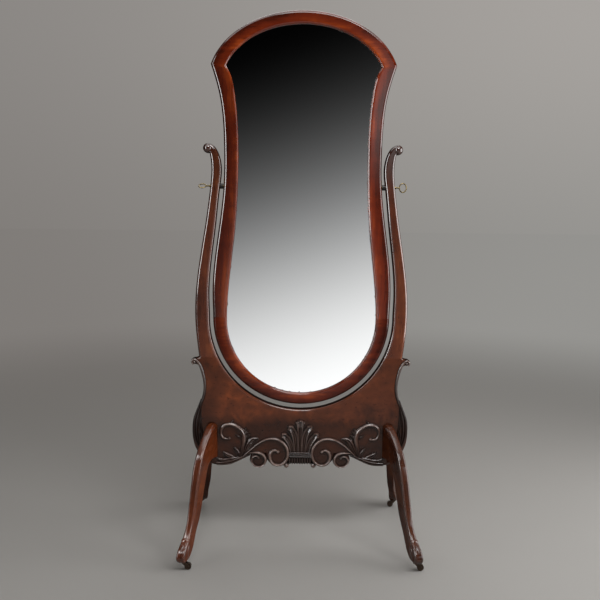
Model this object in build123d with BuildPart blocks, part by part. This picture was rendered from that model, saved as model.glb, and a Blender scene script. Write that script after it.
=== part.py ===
from build123d import *

import os
from math import asin, cos, degrees, radians, sin, sqrt, tan

# Cheval floor mirror: a shaped mirror that swings between two scrolled uprights,
# on a wide carved apron with four splayed legs and swivel casters.
# Millimetres, +Z up, front towards -Y, origin on the floor under the middle.

# Heights, each one measured from the one before it, from the floor up
caster_height = 32
apron_clearance = 230
apron_depth = 205
rim_gap = 17
bottom_radius = 308
bulge_rise = 68
flare_rise = 255
pivot_rise = 130
waist_rise = 130
haunch_rise = 185
shoulder_rise = 92
arch_rise = 178
arch_spring = 62

# Half widths of the mirror frame's outer edge; the bulge stands out from the bowl
bulge_out = 2
flare_half = 286
pivot_half = 271.5
waist_half = 269.5
haunch_half = 287
shoulder_half = 314
shoulder_lean = 0.33

# Widths of the frame's face, from its outer edge to the glass
top_face = 45
shoulder_face = 51
haunch_face = 53
waist_face = 48.5
pivot_face = 49
flare_face = 56
bulge_face = 53
bottom_face = 41
sight_radius = 260
sight_lean = 0.75
sight_shoulder_drop = 6
shoulder_cut_drop = 8

# Frame section, glass and back
frame_thickness = 24
frame_arris = 6
frame_lip = 11
rebate_width = 8
rebate_clearance = 0.5
retainer_set = 1
glass_thickness = 5
backboard_thickness = 6
backboard_lap = 20
backboard_screw_line = 14
backboard_screw_count = 14
screw_head_radius = 3.5
screw_radius = 1.8
screw_depth = 9
countersink_angle = 82
screw_clearance = 0.05
frame_dowel_radius = 3.5
frame_dowel_length = 44
frame_dowel_spread = 16
dowel_clearance = 0.05

# Uprights
side_gap = 12
upright_thickness = 28
upright_arris = 5
upright_pivot_width = 33
upright_flare_width = 36
upright_bulge_width = 47
upright_belly_width = 50
upright_joint_width = 67
upright_joint_rise = 185
neck_rise = 88
neck_width = 33
head_rise = 144
knob_out = 53
knob_radius = 16.5
knob_notch_angle = 250
upright_dowel_radius = 5
upright_dowel_length = 60
upright_dowel_spread = 28

# Apron, measured from the outer corner of the joint with an upright
ear_out = 15
ear_drop = 16
ear_radius = 11.5
ear_sweep = 200
ear_start = (1, -0.4)
ear_return = (-1, -0.2)
hem_end_run = (-1, 0.35)
waist_in = 16
waist_drop = 100
skirt_out = 25
skirt_drop = 260
hip_in = 7
hip_rise = 48
flank_in = 33
flank_rise = 108
tuck_in = 13
tuck_drop = 72
corner_in = 42
corner_rise = 21

# Carving on the apron's front
relief = 12
scroll_band = 10
big_volute_radius = 46
big_volute_x = 84
big_volute_rise = 42
small_volute_radius = 30
small_volute_x = 148
small_volute_rise = 22
big_lobe_radius = 31
lobe_sink = 14
lobe_inset = 1
leaf_lift = 14
leaf_gap = 3
leaf_rise = 36
curl_radius = 30
curl_rise = 128
curl_start = (0.5, 1)
stem_start = (-1, 0.4)
stem_end = (0.2, 1)
palmette_width = 120
petal_length = 108
petal_radius = 12
petal_base_radius = 6
petal_step = 2
palmette_collar_width = 52
palmette_collar_rise = 48
palmette_collar_angle = 80
palmette_foot_width = 66
palmette_foot_rise = 5
pearl_radius = 7.5

# Legs
leg_in = 73
leg_splay = 15
leg_reach = 270
leg_thickness = 26
toe_out = 32
toe_rise = 20
heel_in = 20
knee_rise = 162
root_rise = 28
leg_dowel_radius = 5
leg_dowel_reach = 24
leg_dowel_low = 58
leg_dowel_high = 112

# Pivot: thumbscrew, bush, spacer and nut plate
running_clearance = 0.05
face_gap = 0.3
screw_shank_radius = 3.25
spot_depth = 1.5
bush_radius = 5
spacer_radius = 9.5
spacer_gap = 1.2
nut_plate_height = 44
nut_plate_width = 14
nut_plate_thickness = 3
nut_plate_sink = 1
nut_screw_spacing = 30
nut_screw_radius = 1.5
nut_screw_head_radius = 2.8
nut_screw_depth = 10
shank_bury = 10
washer_radius = 6.5
washer_thickness = 1.5
collar_radius = 4.5
collar_length = 3
neck_radius = 2.6
neck_length = 12
ring_reach = 12
ring_rise = 15
ring_wire_radius = 2
# How far each ring is turned from lying flat when the screws are home
ring_turns = {"left": 27, "right": 90}

# Casters
wheel_radius = 11
wheel_crown = 0.8
wheel_width = 12
axle_radius = 2
axle_head = 1
axle_head_radius = 3.2
trail = 15
cheek_gap = 0.4
cheek_thickness = 2.5
cheek_eye_radius = 5
fork_boss_radius = 9
fork_boss_height = 6
pintle_radius = 3
pintle_length = 28
socket_length = 30
socket_wall = 1.5
flange_radius = 11
flange_thickness = 1.5
flange_screw_radius = 1
flange_screw_head_radius = 1.9
flange_screw_depth = 8
flange_screw_circle = 7.8
flange_screw_count = 3
# Direction in which each wheel trails behind its pintle, in degrees from +X
trail_angles = {"front_left": 0, "front_right": 0, "back_left": 180, "back_right": 180}

# Places worked out from the sizes above
sole_z = caster_height
apron_bottom_z = sole_z + apron_clearance
rim_z = apron_bottom_z + apron_depth
frame_bottom_z = rim_z + rim_gap
bowl_z = frame_bottom_z + bottom_radius
bulge_z = bowl_z + bulge_rise
bulge_half = bottom_radius + bulge_out
flare_z = bulge_z + flare_rise
pivot_z = flare_z + pivot_rise
waist_z = pivot_z + waist_rise
haunch_z = waist_z + haunch_rise
shoulder_z = haunch_z + shoulder_rise
top_z = shoulder_z + arch_rise
sight_bowl_z = frame_bottom_z + bottom_face + sight_radius
sight_shoulder_z = shoulder_z - sight_shoulder_drop
rim_radius = bottom_radius + side_gap
rim_centre_z = rim_z + rim_radius
joint_z = rim_z + upright_joint_rise
joint_inner_x = sqrt(rim_radius**2 - (rim_centre_z - joint_z) ** 2)
joint_outer_x = joint_inner_x + upright_joint_width
upright_pivot_inner = pivot_half + side_gap
upright_pivot_outer = upright_pivot_inner + upright_pivot_width

front = Plane.XZ.offset(frame_thickness / 2)
stand_front = Plane.XZ.offset(upright_thickness / 2)
sides = {"left": -1, "right": 1}
corners = {
    "front_left": (-1, -1),
    "front_right": (1, -1),
    "back_left": (-1, 1),
    "back_right": (1, 1),
}

os.makedirs("parts", exist_ok=True)


def save(piece, name):
    """Labels a finished piece and writes it to its own file."""
    piece.label = name
    export_step(piece, f"parts/{name}.step")


def closed_outline(stations, shoulder, lean, arch_top, spring, bowl):
    """Outline of the frame or of the glass: a bowl below, waisted sides and an arch above."""
    radius, centre_z = bowl
    half, height = shoulder
    arch_height = arch_top - height + spring
    start = asin(spring / arch_height)
    with BuildLine() as outline:
        CenterArc((0, centre_z), radius, -90, 90)
        Spline((radius, centre_z), *stations, shoulder, tangents=((0, 1), (lean, 1)))
        EllipticalCenterArc(
            (0, height - spring),
            half / cos(start),
            arch_height,
            degrees(start),
            arc_size=90 - degrees(start),
        )
        mirror(about=Plane.YZ)
    return outline.wire()


def wood_screw(radius, head_radius, length):
    """Countersunk screw that points down, its head's face at z = 0."""
    cone_height = (head_radius - radius) / tan(radians(countersink_angle / 2))
    with BuildPart() as screw:
        with BuildSketch(Plane.XZ):
            with BuildLine():
                Polyline(
                    (0, 0),
                    (head_radius, 0),
                    (radius, -cone_height),
                    (radius, -length),
                    (0, -length),
                    close=True,
                )
            make_face()
        revolve(axis=Axis.Z)
    return screw.part


def frame_outline():
    """Outer edge of the mirror frame."""
    stations = [
        (bulge_half, bulge_z),
        (flare_half, flare_z),
        (pivot_half, pivot_z),
        (waist_half, waist_z),
        (haunch_half, haunch_z),
    ]
    shoulder = (shoulder_half, shoulder_z)
    return closed_outline(
        stations, shoulder, shoulder_lean, top_z, arch_spring, (bottom_radius, bowl_z)
    )


def sight_outline(grow):
    """Edge of the glass that shows, moved outwards by grow."""
    stations = [
        (bulge_half - bulge_face + grow, bulge_z),
        (flare_half - flare_face + grow, flare_z),
        (pivot_half - pivot_face + grow, pivot_z),
        (waist_half - waist_face + grow, waist_z),
        (haunch_half - haunch_face + grow, haunch_z),
    ]
    shoulder = (shoulder_half - shoulder_face + grow, sight_shoulder_z + grow / 2)
    return closed_outline(
        stations,
        shoulder,
        sight_lean,
        top_z - top_face + grow,
        arch_spring,
        (sight_radius + grow, sight_bowl_z),
    )


frame_edge = frame_outline()
sight_edge = sight_outline(0)
rebate_edge = sight_outline(rebate_width)
glass_edge = sight_outline(rebate_width - rebate_clearance)
retainer_edge = sight_outline(retainer_set)
backboard_edge = sight_outline(backboard_lap)
screw_line = sight_outline(backboard_screw_line)
screw_spots = [
    screw_line @ ((i + 0.5) / backboard_screw_count) for i in range(backboard_screw_count)
]

# Mirror frame, made as one ring and then cut into its four members
frame_back_y = frame_thickness / 2
glass_front = Plane.XZ.offset(frame_thickness / 2 - frame_lip)
glass_back = Plane.XZ.offset(frame_thickness / 2 - frame_lip - glass_thickness)
frame_back = Plane.XZ.offset(-frame_thickness / 2)
nut_seat = pivot_half - nut_plate_sink - nut_plate_thickness
dowel_y = -frame_thickness / 2 + frame_lip / 2
shoulder_mid_x = shoulder_half - shoulder_face / 2
shoulder_mid_z = (shoulder_z + sight_shoulder_z) / 2 - shoulder_cut_drop
bowl_mid_x = (bottom_radius + sight_radius) / 2

frame_dowel_spots = []
for side in sides.values():
    for offset_x in (-frame_dowel_spread / 2, frame_dowel_spread / 2):
        frame_dowel_spots.append((side * shoulder_mid_x + offset_x, dowel_y, shoulder_mid_z))
        frame_dowel_spots.append((side * bowl_mid_x + offset_x, dowel_y, bowl_z))

with BuildPart() as frame_ring:
    with BuildSketch(front):
        make_face(frame_edge.edges())
        make_face(sight_edge.edges(), mode=Mode.SUBTRACT)
    extrude(amount=-frame_thickness)
    fillet(frame_ring.faces().sort_by(Axis.Y)[0].edges(), frame_arris)
    with BuildSketch(glass_front):
        make_face(rebate_edge.edges())
    extrude(amount=-frame_thickness, mode=Mode.SUBTRACT)
    with Locations(*[(spot.X, frame_back_y, spot.Y) for spot in screw_spots]):
        Cylinder(
            screw_radius + screw_clearance,
            2 * screw_depth,
            rotation=(90, 0, 0),
            mode=Mode.SUBTRACT,
        )
    with Locations(*frame_dowel_spots):
        Cylinder(
            frame_dowel_radius + dowel_clearance, frame_dowel_length, mode=Mode.SUBTRACT
        )
    for side in sides.values():
        with Locations((side * nut_seat, 0, pivot_z)):
            Box(
                2 * frame_thickness,
                nut_plate_width + 2 * dowel_clearance,
                nut_plate_height + 2 * dowel_clearance,
                align=(Align.MIN if side > 0 else Align.MAX, Align.CENTER, Align.CENTER),
                mode=Mode.SUBTRACT,
            )
            Cylinder(
                screw_shank_radius + face_gap,
                2 * (shank_bury + face_gap),
                rotation=(0, 90, 0),
                mode=Mode.SUBTRACT,
            )
        with Locations(
            (side * nut_seat, 0, pivot_z + nut_screw_spacing / 2),
            (side * nut_seat, 0, pivot_z - nut_screw_spacing / 2),
        ):
            Cylinder(
                nut_screw_radius + screw_clearance,
                2 * nut_screw_depth,
                rotation=(0, 90, 0),
                mode=Mode.SUBTRACT,
            )

shoulder_slope = sight_shoulder_drop / shoulder_face
shoulder_cuts = {
    side: Plane(
        origin=(side * shoulder_mid_x, 0, shoulder_mid_z), z_dir=(-side * shoulder_slope, 0, 1)
    )
    for side in sides.values()
}
bowl_cut = Plane.XY.offset(bowl_z)

with BuildPart() as frame_top_rail:
    add(frame_ring.part)
    split(bisect_by=shoulder_cuts[1], keep=Keep.TOP)
    split(bisect_by=shoulder_cuts[-1], keep=Keep.TOP)
save(frame_top_rail.part, "frame_top_rail")

with BuildPart() as frame_bottom_rail:
    add(frame_ring.part)
    split(bisect_by=bowl_cut, keep=Keep.BOTTOM)
save(frame_bottom_rail.part, "frame_bottom_rail")

for side_name, side in sides.items():
    with BuildPart() as frame_stile:
        add(frame_ring.part)
        split(bisect_by=bowl_cut, keep=Keep.TOP)
        split(bisect_by=shoulder_cuts[side], keep=Keep.BOTTOM)
        split(bisect_by=Plane.YZ, keep=Keep.TOP if side > 0 else Keep.BOTTOM)
    save(frame_stile.part, f"frame_{side_name}_stile")

with BuildPart() as frame_dowels:
    with Locations(*frame_dowel_spots):
        Cylinder(frame_dowel_radius, frame_dowel_length - 2 * dowel_clearance)
save(frame_dowels.part, "frame_dowels")

# Glass, the fillet that holds it, and the backboard
with BuildPart() as mirror_glass:
    with BuildSketch(glass_front):
        make_face(glass_edge.edges())
    extrude(amount=-glass_thickness)
save(mirror_glass.part, "mirror_glass")

with BuildPart() as glass_retainer:
    with BuildSketch(glass_back):
        make_face(glass_edge.edges())
        make_face(retainer_edge.edges(), mode=Mode.SUBTRACT)
    extrude(amount=-(frame_thickness - frame_lip - glass_thickness))
save(glass_retainer.part, "glass_retainer")

backboard_back_y = frame_back_y + backboard_thickness
screw_seats = [Location((spot.X, backboard_back_y, spot.Y), (-90, 0, 0)) for spot in screw_spots]

with BuildPart() as backboard:
    with BuildSketch(frame_back):
        make_face(backboard_edge.edges())
    extrude(amount=-backboard_thickness)
    with Locations(*screw_seats):
        CounterSinkHole(
            screw_radius + screw_clearance,
            screw_head_radius + screw_clearance,
            backboard_thickness,
            countersink_angle,
        )
save(backboard.part, "backboard")

backboard_screw = wood_screw(screw_radius, screw_head_radius, backboard_thickness + screw_depth)
with BuildPart() as backboard_screws:
    with Locations(*screw_seats):
        add(backboard_screw)
save(backboard_screws.part, "backboard_screws")

# Nut plates let into the frame's edges, with their screws
nut_screw = wood_screw(nut_screw_radius, nut_screw_head_radius, nut_plate_thickness + nut_screw_depth)
nut_screw_seats = []
for side_name, side in sides.items():
    plate_face_x = side * (nut_seat + nut_plate_thickness)
    outward = Plane(origin=(plate_face_x, 0, pivot_z), x_dir=(0, 1, 0), z_dir=(side, 0, 0))
    seats = [
        Location((plate_face_x, 0, pivot_z + rise), (0, side * 90, 0))
        for rise in (-nut_screw_spacing / 2, nut_screw_spacing / 2)
    ]
    nut_screw_seats += seats
    with BuildPart() as nut_plate:
        with BuildSketch(outward):
            Rectangle(nut_plate_width, nut_plate_height)
            Circle(screw_shank_radius + running_clearance, mode=Mode.SUBTRACT)
        extrude(amount=-nut_plate_thickness)
        with Locations(*seats):
            CounterSinkHole(
                nut_screw_radius + screw_clearance,
                nut_screw_head_radius + screw_clearance,
                nut_plate_thickness,
                countersink_angle,
            )
    save(nut_plate.part, f"{side_name}_nut_plate")

with BuildPart() as nut_plate_screws:
    with Locations(*nut_screw_seats):
        add(nut_screw)
save(nut_plate_screws.part, "nut_plate_screws")

# Uprights
knob_x = pivot_half + knob_out
knob_z = pivot_z + head_rise - knob_radius
neck_z = pivot_z + neck_rise
neck_inner_x = waist_half + side_gap
belly_z = rim_centre_z
spot_inner_x = upright_pivot_inner + spot_depth
spot_outer_x = upright_pivot_outer - spot_depth
upright_dowel_mid_x = (joint_inner_x + joint_outer_x) / 2

upright_dowel_spots = {
    side: [
        (side * (upright_dowel_mid_x - upright_dowel_spread / 2), 0, joint_z),
        (side * (upright_dowel_mid_x + upright_dowel_spread / 2), 0, joint_z),
    ]
    for side in sides.values()
}

for side_name, side in sides.items():
    with BuildPart() as upright:
        with BuildSketch(stand_front):
            with BuildLine():
                rim = CenterArc(
                    (0, rim_centre_z),
                    rim_radius,
                    degrees(asin((joint_z - rim_centre_z) / rim_radius)),
                    degrees(asin((rim_centre_z - joint_z) / rim_radius)),
                )
                inner = Spline(
                    rim @ 1,
                    (bulge_half + side_gap, bulge_z),
                    (flare_half + side_gap, flare_z),
                    (upright_pivot_inner, pivot_z),
                    (neck_inner_x, neck_z),
                    (knob_x, knob_z + knob_radius),
                    tangents=((0, 1), (1, 0)),
                )
                knob = CenterArc((knob_x, knob_z), knob_radius, 90, knob_notch_angle - 450)
                outer = Spline(
                    knob @ 1,
                    (neck_inner_x + neck_width, neck_z),
                    (upright_pivot_outer, pivot_z),
                    (flare_half + side_gap + upright_flare_width, flare_z),
                    (bulge_half + side_gap + upright_bulge_width, bulge_z),
                    (rim_radius + upright_belly_width, belly_z),
                    (joint_outer_x, joint_z),
                )
                Line(outer @ 1, rim @ 0)
            make_face()
            if side < 0:
                mirror(about=Plane.YZ, mode=Mode.REPLACE)
        extrude(amount=-upright_thickness)
        arrises = upright.faces().filter_by(Axis.Y).edges()
        fillet(arrises.filter_by_position(Axis.Z, joint_z + upright_arris, top_z), upright_arris)
        with Locations(*upright_dowel_spots[side]):
            Cylinder(
                upright_dowel_radius + dowel_clearance,
                upright_dowel_length,
                mode=Mode.SUBTRACT,
            )
        with Locations((0, 0, pivot_z)):
            Cylinder(
                bush_radius + dowel_clearance,
                2 * knob_x,
                rotation=(0, 90, 0),
                mode=Mode.SUBTRACT,
            )
            Cylinder(
                spacer_radius + face_gap,
                2 * spot_inner_x,
                rotation=(0, 90, 0),
                mode=Mode.SUBTRACT,
            )
        with Locations((side * spot_outer_x, 0, pivot_z)):
            Cylinder(
                washer_radius + face_gap,
                upright_pivot_width,
                rotation=(0, side * 90, 0),
                align=(Align.CENTER, Align.CENTER, Align.MIN),
                mode=Mode.SUBTRACT,
            )
    save(upright.part, f"{side_name}_upright")

with BuildPart() as upright_dowels:
    with Locations(*upright_dowel_spots[-1], *upright_dowel_spots[1]):
        Cylinder(upright_dowel_radius, upright_dowel_length - 2 * dowel_clearance)
save(upright_dowels.part, "upright_dowels")

# Apron: the U under the mirror, with an ear at each side and a lobed lower edge
ear_x = joint_outer_x + ear_out
ear_z = joint_z - ear_drop
skirt_x = joint_outer_x + skirt_out
skirt_z = joint_z - skirt_drop
big_volute_z = apron_bottom_z + big_volute_rise
small_volute_z = apron_bottom_z + small_volute_rise
hem_end_x = small_volute_x + small_volute_radius
hem_end_z = small_volute_z + leaf_lift
leg_x = skirt_x - leg_in
leg_dowel_spots = [
    (side * leg_x, 0, apron_bottom_z + rise)
    for side in sides.values()
    for rise in (leg_dowel_low, leg_dowel_high)
]
palmette_foot_z = apron_bottom_z + palmette_foot_rise
leg_inner_x = leg_x - leg_thickness / 2 / cos(radians(leg_splay))

with BuildPart() as apron:
    with BuildSketch(stand_front):
        with BuildLine():
            rim = CenterArc(
                (0, rim_centre_z),
                rim_radius,
                -90,
                90 - degrees(asin((rim_centre_z - joint_z) / rim_radius)),
            )
            joint = Line(rim @ 1, (joint_outer_x, joint_z))
            Spline(
                joint @ 1,
                (ear_x, ear_z + ear_radius),
                tangents=(ear_start, (1, 0)),
            )
            ear = CenterArc((ear_x, ear_z), ear_radius, 90, -ear_sweep)
            skirt = Spline(
                ear @ 1,
                (joint_outer_x - waist_in / 2, joint_z - waist_drop / 2),
                (joint_outer_x - waist_in, joint_z - waist_drop),
                (skirt_x - flank_in, skirt_z + flank_rise),
                (skirt_x - hip_in, skirt_z + hip_rise),
                (skirt_x, skirt_z),
                (skirt_x - tuck_in, skirt_z - tuck_drop),
                (skirt_x - corner_in, apron_bottom_z + corner_rise),
                (leg_inner_x, apron_bottom_z),
                tangents=(ear_return, (-1, 0)),
            )
            hem = Spline(
                skirt @ 1,
                (hem_end_x, hem_end_z),
                tangents=((-1, 0), hem_end_run),
            )
            Line(hem @ 1, (big_volute_x, big_volute_z))
            Polyline(
                (big_volute_x, big_volute_z),
                (palmette_foot_width / 2, palmette_foot_z),
                (0, palmette_foot_z),
            )
            mirror(about=Plane.YZ)
        make_face()
        for side in sides.values():
            with Locations((side * big_volute_x, big_volute_z - lobe_sink)):
                Circle(big_lobe_radius)
            with Locations((side * small_volute_x, small_volute_z)):
                Circle(small_volute_radius - lobe_inset)
    extrude(amount=-upright_thickness)
    rim_arrises = apron.faces().filter_by(Axis.Y).edges().filter_by(
        lambda edge: edge.geom_type == GeomType.CIRCLE and abs(edge.radius - rim_radius) < 0.01
    )
    fillet(rim_arrises, upright_arris)
    with Locations(*upright_dowel_spots[-1], *upright_dowel_spots[1]):
        Cylinder(
            upright_dowel_radius + dowel_clearance, upright_dowel_length, mode=Mode.SUBTRACT
        )
    with Locations(*leg_dowel_spots):
        Cylinder(
            leg_dowel_radius + dowel_clearance,
            2 * upright_thickness,
            rotation=(90, 0, 0),
            mode=Mode.SUBTRACT,
        )
save(apron.part, "apron")

# Carved ornament on the apron's front
# Petals from the middle outwards: share of the palmette's width, share of the petal's length
petal_tips = [(0, 1), (0.29, 0.83), (0.46, 0.6)]
collar_z = apron_bottom_z + palmette_collar_rise
pearl_x = palmette_foot_width / 2 + pearl_radius - lobe_inset
collar_height = collar_z - palmette_foot_z

with BuildPart() as palmette_carving:
    for order, (across, up) in enumerate(petal_tips):
        for side in sides.values():
            tip = (side * across * palmette_width, collar_z + up * petal_length)
            base = (side * across * palmette_collar_width / 2, collar_z)
            with BuildSketch(stand_front):
                with Locations(tip):
                    Circle(petal_radius)
                with Locations(base):
                    Circle(petal_base_radius)
                make_hull()
            extrude(amount=relief - order * petal_step)
    with BuildSketch(stand_front):
        with Locations((0, (collar_z + palmette_foot_z) / 2)):
            Trapezoid(palmette_foot_width, collar_height, palmette_collar_angle)
        for side in sides.values():
            with Locations((side * pearl_x, palmette_foot_z)):
                Circle(pearl_radius)
    extrude(amount=relief)
save(palmette_carving.part, "palmette_carving")

# Big volute: angle round its centre, and distance from it as a share of its radius
volute_turn = [
    (65, 1.41),
    (115, 1.07),
    (180, 0.89),
    (245, 0.95),
    (305, 0.94),
    (365, 0.76),
    (400, 0.66),
    (470, 0.4),
]
volute_points = [
    (
        big_volute_x + share * big_volute_radius * cos(radians(angle)),
        big_volute_z + share * big_volute_radius * sin(radians(angle)),
    )
    for angle, share in volute_turn
]
leaf_root_x = leg_inner_x - leaf_gap
leaf_top_z = apron_bottom_z + leaf_rise
curl_x = leg_inner_x - leaf_gap - curl_radius - scroll_band
curl_z = apron_bottom_z + curl_rise
stem_top = (curl_x - 2 * curl_radius, curl_z)
leaf_middle = ((leaf_root_x + hem_end_x) / 2, leaf_top_z)

for side_name, side in sides.items():
    with BuildPart() as scroll_carving:
        with BuildSketch(stand_front):
            with BuildLine():
                lower = Spline(
                    (leaf_root_x, apron_bottom_z + lobe_inset),
                    (hem_end_x - scroll_band / 2, hem_end_z),
                    tangents=((-1, 0), hem_end_run),
                )
                upper = Spline(
                    lower @ 1,
                    leaf_middle,
                    (leaf_root_x, leaf_top_z),
                )
                Line(upper @ 1, lower @ 0)
            make_face()
            with BuildLine():
                Spline(leaf_middle, *volute_points)
            trace(line_width=scroll_band)
            with BuildLine():
                Spline(
                    stem_top,
                    (curl_x, curl_z + curl_radius),
                    (curl_x + curl_radius, curl_z),
                    (curl_x, curl_z - curl_radius),
                    tangents=(curl_start, (-1, 0)),
                )
            trace(line_width=scroll_band)
            with BuildLine():
                Spline(leaf_middle, stem_top, tangents=(stem_start, stem_end))
            trace(line_width=scroll_band)
            with Locations((small_volute_x, small_volute_z)):
                Circle(small_volute_radius)
                Circle(small_volute_radius - scroll_band, mode=Mode.SUBTRACT)
            if side < 0:
                mirror(about=Plane.YZ, mode=Mode.REPLACE)
        extrude(amount=relief)
    save(scroll_carving.part, f"{side_name}_scroll_carving")

# Legs, sawn from plank and splayed, with a dowel through the apron at each height
leg_drop = apron_bottom_z + knee_rise - sole_z
root_z = apron_bottom_z + root_rise
knee_z = apron_bottom_z + knee_rise
toe_s = leg_reach + toe_out
heel_s = leg_reach - heel_in
root_back = leg_thickness
# Points of the leg's front and back curves: shares of the reach and of the drop
leg_front_curve = [(0.22, 0.908), (0.556, 0.722), (0.68, 0.505), (0.79, 0.283), (0.956, 0.148)]
leg_back_curve = [(0.77, 0.084), (0.593, 0.235), (0.437, 0.46), (0.27, 0.648), (0.148, 0.676)]


def leg_point(share):
    """A point of a leg's side curve, from its shares of the reach and the drop."""
    return (share[0] * leg_reach, sole_z + share[1] * leg_drop)


socket_radius = pintle_radius + running_clearance + socket_wall
pintle_spots = {}

for corner, (side, end) in corners.items():
    lean = radians(leg_splay)
    direction = Vector(side * sin(lean), end * cos(lean), 0)
    root = Vector(side * leg_x, end * upright_thickness / 2, 0)
    leg_side = Plane(origin=root, x_dir=direction, z_dir=direction.cross(Vector(0, 0, 1)))
    apron_face = Plane(origin=root, z_dir=(0, end, 0))
    pintle = root + direction * leg_reach
    with BuildPart() as leg:
        with BuildSketch(leg_side):
            with BuildLine():
                front_curve = Spline(
                    (-root_back, knee_z),
                    (0, knee_z),
                    *[leg_point(share) for share in leg_front_curve],
                    (toe_s, sole_z + toe_rise),
                )
                toe = Spline(
                    front_curve @ 1,
                    (toe_s - toe_rise / 2, sole_z),
                    tangents=(front_curve % 1, (-1, 0)),
                )
                sole = Line(toe @ 1, (heel_s, sole_z))
                back_curve = Spline(
                    sole @ 1,
                    *[leg_point(share) for share in leg_back_curve],
                    (-root_back, root_z),
                )
                Line(back_curve @ 1, front_curve @ 0)
            make_face()
        extrude(amount=leg_thickness / 2, both=True)
        split(bisect_by=apron_face, keep=Keep.TOP)
        with Locations(*leg_dowel_spots):
            Cylinder(
                leg_dowel_radius + dowel_clearance,
                upright_thickness + 2 * leg_dowel_reach,
                rotation=(90, 0, 0),
                mode=Mode.SUBTRACT,
            )
        with Locations((pintle.X, pintle.Y, sole_z)):
            Cylinder(
                socket_radius + dowel_clearance,
                2 * (socket_length + dowel_clearance),
                mode=Mode.SUBTRACT,
            )
            with PolarLocations(flange_screw_circle, flange_screw_count):
                Cylinder(
                    flange_screw_radius + screw_clearance,
                    2 * flange_screw_depth,
                    mode=Mode.SUBTRACT,
                )
    save(leg.part, f"{corner}_leg")
    pintle_spots[corner] = (pintle.X, pintle.Y)

with BuildPart() as leg_dowels:
    with Locations(*leg_dowel_spots):
        Cylinder(
            leg_dowel_radius,
            upright_thickness + 2 * (leg_dowel_reach - dowel_clearance),
            rotation=(90, 0, 0),
        )
save(leg_dowels.part, "leg_dowels")

# Pivots: bush and spacer stay in the upright, washer and ring-headed screw turn outside it
bore_radius = screw_shank_radius + running_clearance
spacer_face_x = pivot_half + spacer_gap
washer_x = spot_outer_x + face_gap
collar_x = washer_x + washer_thickness + face_gap
shank_end_x = nut_seat - shank_bury
ring_x = collar_x + collar_length + neck_length + ring_reach

for side_name, side in sides.items():
    outwards = Plane(origin=(0, 0, pivot_z), x_dir=(0, 1, 0), z_dir=(side, 0, 0))
    with BuildPart() as pivot_bush:
        with BuildSketch(outwards.offset(spot_inner_x)):
            Circle(bush_radius)
            Circle(bore_radius, mode=Mode.SUBTRACT)
        extrude(amount=spot_outer_x - spot_inner_x)
    save(pivot_bush.part, f"{side_name}_pivot_bush")

    with BuildPart() as spacer:
        with BuildSketch(outwards.offset(spacer_face_x)):
            Circle(spacer_radius)
            Circle(bore_radius, mode=Mode.SUBTRACT)
        extrude(amount=spot_inner_x - spacer_face_x)
    save(spacer.part, f"{side_name}_spacer")

    with BuildPart() as screw_washer:
        with BuildSketch(outwards.offset(washer_x)):
            Circle(washer_radius)
            Circle(bore_radius, mode=Mode.SUBTRACT)
        extrude(amount=washer_thickness)
    save(screw_washer.part, f"{side_name}_screw_washer")

    turn = radians(ring_turns[side_name])
    ring_plane = Plane(
        origin=(side * ring_x, 0, pivot_z), x_dir=(1, 0, 0), z_dir=(0, -sin(turn), cos(turn))
    )
    ring_line = Edge.make_ellipse(ring_reach, ring_rise, ring_plane)
    with BuildPart() as thumbscrew:
        with BuildSketch(outwards.offset(shank_end_x)):
            Circle(screw_shank_radius)
        extrude(amount=collar_x - shank_end_x)
        with BuildSketch(outwards.offset(collar_x)):
            Circle(collar_radius)
        extrude(amount=collar_length)
        with BuildSketch(outwards.offset(collar_x)):
            Circle(neck_radius)
        extrude(amount=collar_length + neck_length)
        with BuildSketch(Plane(origin=ring_line @ 0, z_dir=ring_line % 0)):
            Circle(ring_wire_radius)
        sweep(path=ring_line)
    save(thumbscrew.part, f"{side_name}_thumbscrew")

# Casters: socket plate and screws in the foot, swivelling fork, axle pin and wheel
plate_screw = wood_screw(
    flange_screw_radius, flange_screw_head_radius, flange_thickness + flange_screw_depth
)
flange_z = sole_z - flange_thickness
boss_top_z = flange_z - face_gap
cheek_inner = wheel_width / 2 + cheek_gap
axle_half = cheek_inner + cheek_thickness + axle_head
pintle_bore = pintle_radius + running_clearance
plate_screw_seats = []

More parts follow.
